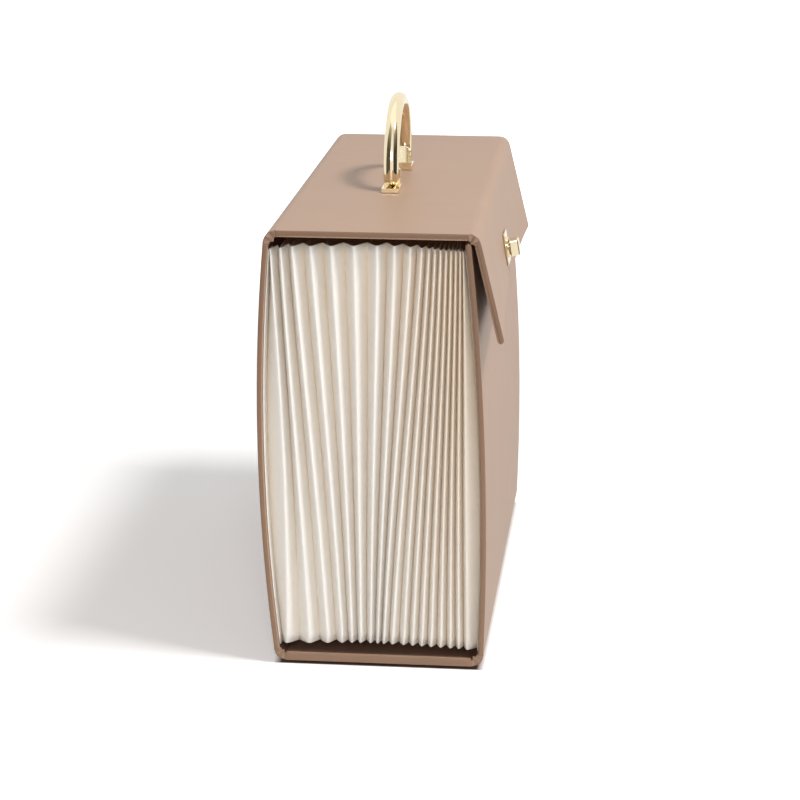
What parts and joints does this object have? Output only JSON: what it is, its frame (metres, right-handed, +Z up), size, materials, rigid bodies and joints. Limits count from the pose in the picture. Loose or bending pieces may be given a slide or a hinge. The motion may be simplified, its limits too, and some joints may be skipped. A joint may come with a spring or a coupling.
{
  "type": "expanding file folder",
  "caption": "Upright expanding file case: covered boards, hanging flap with a twist lock, pleated paper pockets and an arched carrying handle on the lid.",
  "frame": {"origin": "centre of the base board's underside", "axes": "+X towards the front, where the flap hangs, +Y along the case's length, +Z up"},
  "size_m": [0.143, 0.3302, 0.3135],
  "materials": {
    "cover": "smooth tan leatherette over stiff board",
    "lining": "matt tan lining sheet",
    "paper": "cream pleated paper",
    "card": "cream index card",
    "gold": "polished pale gold plating",
    "steel": "plain steel"
  },
  "bodies": {
    "case": {"base_board": "cover", "back_board": "cover", "base_back_cover_strip": "cover", "base_back_lining_strip": "lining", "base_lining": "lining", "back_lining": "lining", "base_front_cover_strip": "cover", "base_front_lining_strip": "lining", "gusset_near": "paper", "gusset_far": "paper", "pocket_floor": "card", "back_lid_cover_strip": "cover", "back_lid_lining_strip": "lining"},
    "front": {"front_board": "cover", "front_lining": "lining", "lock_keeper": "steel", "lock_keeper_backing": "steel"},
    "lid": {"lid_board": "cover", "lid_lining": "lining", "handle_bracket_near": "gold", "handle_bracket_far": "gold", "handle_backing_near": "steel", "handle_backing_far": "steel", "handle_screw_near_inner": "steel", "handle_screw_near_outer": "steel", "handle_screw_far_inner": "steel", "handle_screw_far_outer": "steel", "handle_pin_near": "steel", "handle_pin_far": "steel", "lid_flap_cover_strip": "cover", "lid_flap_lining_strip": "lining"},
    "flap": {"flap_board": "cover", "flap_lining": "lining", "lock_plate": "gold"},
    "lock": {"lock_knob": "gold", "lock_bar": "steel"},
    "handle": {"handle_bail": "gold"},
    "divider_01_leaf": {"divider_01": "card"},
    "divider_02_leaf": {"divider_02": "card"},
    "divider_03_leaf": {"divider_03": "card"},
    "divider_04_leaf": {"divider_04": "card"},
    "divider_05_leaf": {"divider_05": "card"},
    "divider_06_leaf": {"divider_06": "card"},
    "divider_07_leaf": {"divider_07": "card"},
    "divider_08_leaf": {"divider_08": "card"},
    "divider_09_leaf": {"divider_09": "card"},
    "divider_10_leaf": {"divider_10": "card"},
    "divider_11_leaf": {"divider_11": "card"},
    "divider_12_leaf": {"divider_12": "card"},
    "divider_13_leaf": {"divider_13": "card"},
    "divider_14_leaf": {"divider_14": "card"},
    "divider_15_leaf": {"divider_15": "card"},
    "divider_16_leaf": {"divider_16": "card"},
    "divider_17_leaf": {"divider_17": "card"}
  },
  "joints": [
    {"name": "lid_hinge", "type": "hinge", "parent": "case", "child": "lid", "pos_m": [-0.0631, 0, 0.25642], "axis": [0, -1, 0], "range_deg": [0, 190], "deforming": ["back_lid_cover_strip", "back_lid_lining_strip"]},
    {"name": "flap_hinge", "type": "hinge", "parent": "lid", "child": "flap", "pos_m": [0.0542, 0, 0.2564], "axis": [0, -1, 0], "range_deg": [0, 150], "deforming": ["lid_flap_cover_strip", "lid_flap_lining_strip"]},
    {"name": "front_tilt", "type": "hinge", "parent": "case", "child": "front", "pos_m": [0.06, 0, 0.0025], "axis": [0, 1, 0], "range_deg": [0, 19], "deforming": ["base_front_cover_strip", "base_front_lining_strip", "gusset_near", "gusset_far", "pocket_floor"]},
    {"name": "handle_fold", "type": "hinge", "parent": "lid", "child": "handle", "pos_m": [-0.0048, 0, 0.2674], "axis": [0, 1, 0], "range_deg": [-90, 90]},
    {"name": "lock_turn", "type": "hinge", "parent": "flap", "child": "lock", "pos_m": [0.06243, 0, 0.21703], "axis": [0.986, 0, 0.1666], "range_deg": [0, 90]},
    {"name": "divider_01_lean", "type": "hinge", "parent": "case", "child": "divider_01_leaf", "pos_m": [-0.04764, 0, 0.0135], "axis": [0, 1, 0], "range_deg": [0, 0.381]},
    {"name": "divider_02_lean", "type": "hinge", "parent": "case", "child": "divider_02_leaf", "pos_m": [-0.03564, 0, 0.0135], "axis": [0, 1, 0], "range_deg": [0, 0.761]},
    {"name": "divider_03_lean", "type": "hinge", "parent": "case", "child": "divider_03_leaf", "pos_m": [-0.0259, 0, 0.0135], "axis": [0, 1, 0], "range_deg": [0, 1.55]},
    {"name": "divider_04_lean", "type": "hinge", "parent": "case", "child": "divider_04_leaf", "pos_m": [-0.01872, 0, 0.0135], "axis": [0, 1, 0], "range_deg": [0, 3.49]},
    {"name": "divider_05_lean", "type": "hinge", "parent": "case", "child": "divider_05_leaf", "pos_m": [-0.01324, 0, 0.0135], "axis": [0, 1, 0], "range_deg": [0, 6.04]},
    {"name": "divider_06_lean", "type": "hinge", "parent": "case", "child": "divider_06_leaf", "pos_m": [-0.00768, 0, 0.0135], "axis": [0, 1, 0], "range_deg": [0, 9]},
    {"name": "divider_07_lean", "type": "hinge", "parent": "case", "child": "divider_07_leaf", "pos_m": [-0.00264, 0, 0.0135], "axis": [0, 1, 0], "range_deg": [0, 11.71]},
    {"name": "divider_08_lean", "type": "hinge", "parent": "case", "child": "divider_08_leaf", "pos_m": [0.00126, 0, 0.0135], "axis": [0, 1, 0], "range_deg": [0, 13.83]},
    {"name": "divider_09_lean", "type": "hinge", "parent": "case", "child": "divider_09_leaf", "pos_m": [0.00565, 0, 0.0135], "axis": [0, 1, 0], "range_deg": [0, 15.45]},
    {"name": "divider_10_lean", "type": "hinge", "parent": "case", "child": "divider_10_leaf", "pos_m": [0.01157, 0, 0.0135], "axis": [0, 1, 0], "range_deg": [0, 16.54]},
    {"name": "divider_11_lean", "type": "hinge", "parent": "case", "child": "divider_11_leaf", "pos_m": [0.01754, 0, 0.0135], "axis": [0, 1, 0], "range_deg": [0, 17.3]},
    {"name": "divider_12_lean", "type": "hinge", "parent": "case", "child": "divider_12_leaf", "pos_m": [0.02288, 0, 0.0135], "axis": [0, 1, 0], "range_deg": [0, 17.86]},
    {"name": "divider_13_lean", "type": "hinge", "parent": "case", "child": "divider_13_leaf", "pos_m": [0.02829, 0, 0.0135], "axis": [0, 1, 0], "range_deg": [0, 18.28]},
    {"name": "divider_14_lean", "type": "hinge", "parent": "case", "child": "divider_14_leaf", "pos_m": [0.03375, 0, 0.0135], "axis": [0, 1, 0], "range_deg": [0, 18.59]},
    {"name": "divider_15_lean", "type": "hinge", "parent": "case", "child": "divider_15_leaf", "pos_m": [0.03935, 0, 0.0135], "axis": [0, 1, 0], "range_deg": [0, 18.8]},
    {"name": "divider_16_lean", "type": "hinge", "parent": "case", "child": "divider_16_leaf", "pos_m": [0.04458, 0, 0.0135], "axis": [0, 1, 0], "range_deg": [0, 18.94]},
    {"name": "divider_17_lean", "type": "hinge", "parent": "case", "child": "divider_17_leaf", "pos_m": [0.04946, 0, 0.0135], "axis": [0, 1, 0], "range_deg": [0, 19]}
  ],
  "couplings": [
    {"joint": "front_tilt", "follows": "lid_hinge", "ratio": 0.1},
    {"joint": "divider_01_lean", "follows": "lid_hinge", "ratio": 0.002},
    {"joint": "divider_02_lean", "follows": "lid_hinge", "ratio": 0.004},
    {"joint": "divider_03_lean", "follows": "lid_hinge", "ratio": 0.00814},
    {"joint": "divider_04_lean", "follows": "lid_hinge", "ratio": 0.01834},
    {"joint": "divider_05_lean", "follows": "lid_hinge", "ratio": 0.0318},
    {"joint": "divider_06_lean", "follows": "lid_hinge", "ratio": 0.04738},
    {"joint": "divider_07_lean", "follows": "lid_hinge", "ratio": 0.06164},
    {"joint": "divider_08_lean", "follows": "lid_hinge", "ratio": 0.07277},
    {"joint": "divider_09_lean", "follows": "lid_hinge", "ratio": 0.08131},
    {"joint": "divider_10_lean", "follows": "lid_hinge", "ratio": 0.08707},
    {"joint": "divider_11_lean", "follows": "lid_hinge", "ratio": 0.09105},
    {"joint": "divider_12_lean", "follows": "lid_hinge", "ratio": 0.09401},
    {"joint": "divider_13_lean", "follows": "lid_hinge", "ratio": 0.09622},
    {"joint": "divider_14_lean", "follows": "lid_hinge", "ratio": 0.09783},
    {"joint": "divider_15_lean", "follows": "lid_hinge", "ratio": 0.09895},
    {"joint": "divider_16_lean", "follows": "lid_hinge", "ratio": 0.09966},
    {"joint": "divider_17_lean", "follows": "lid_hinge", "ratio": 0.09998}
  ]
}
